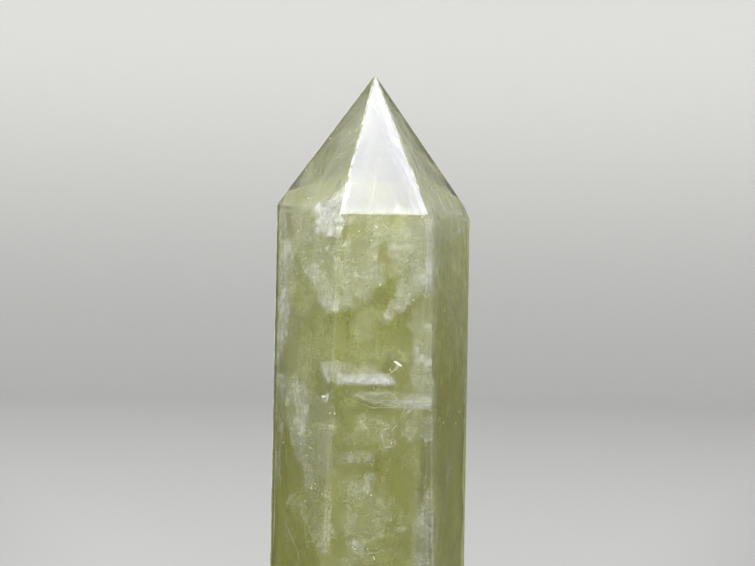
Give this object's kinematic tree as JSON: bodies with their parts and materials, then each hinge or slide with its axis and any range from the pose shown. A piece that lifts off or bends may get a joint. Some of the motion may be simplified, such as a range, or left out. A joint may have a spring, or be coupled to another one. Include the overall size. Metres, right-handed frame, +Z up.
{
  "type": "citrine crystal point",
  "caption": "Six-sided polished quartz point of pale lemon-green citrine, clear with milky veils and bright healed fractures, sawn flat at the foot so that it stands tip up.",
  "frame": {"origin": "centre of the stone's outline on its flat foot", "axes": "+Z up along the crystal, from the foot to the tip; -Y towards the broad front face"},
  "size_m": [0.0368, 0.035, 0.12],
  "materials": {
    "citrine": "clear lemon-green quartz, lapped and polished to a gloss, with a satin sawn foot",
    "milky_veil": "white veils of tiny fluid bubbles and bright healed fractures sealed inside the quartz"
  },
  "bodies": {
    "root": {"crystal_point": "citrine"}
  },
  "joints": []
}
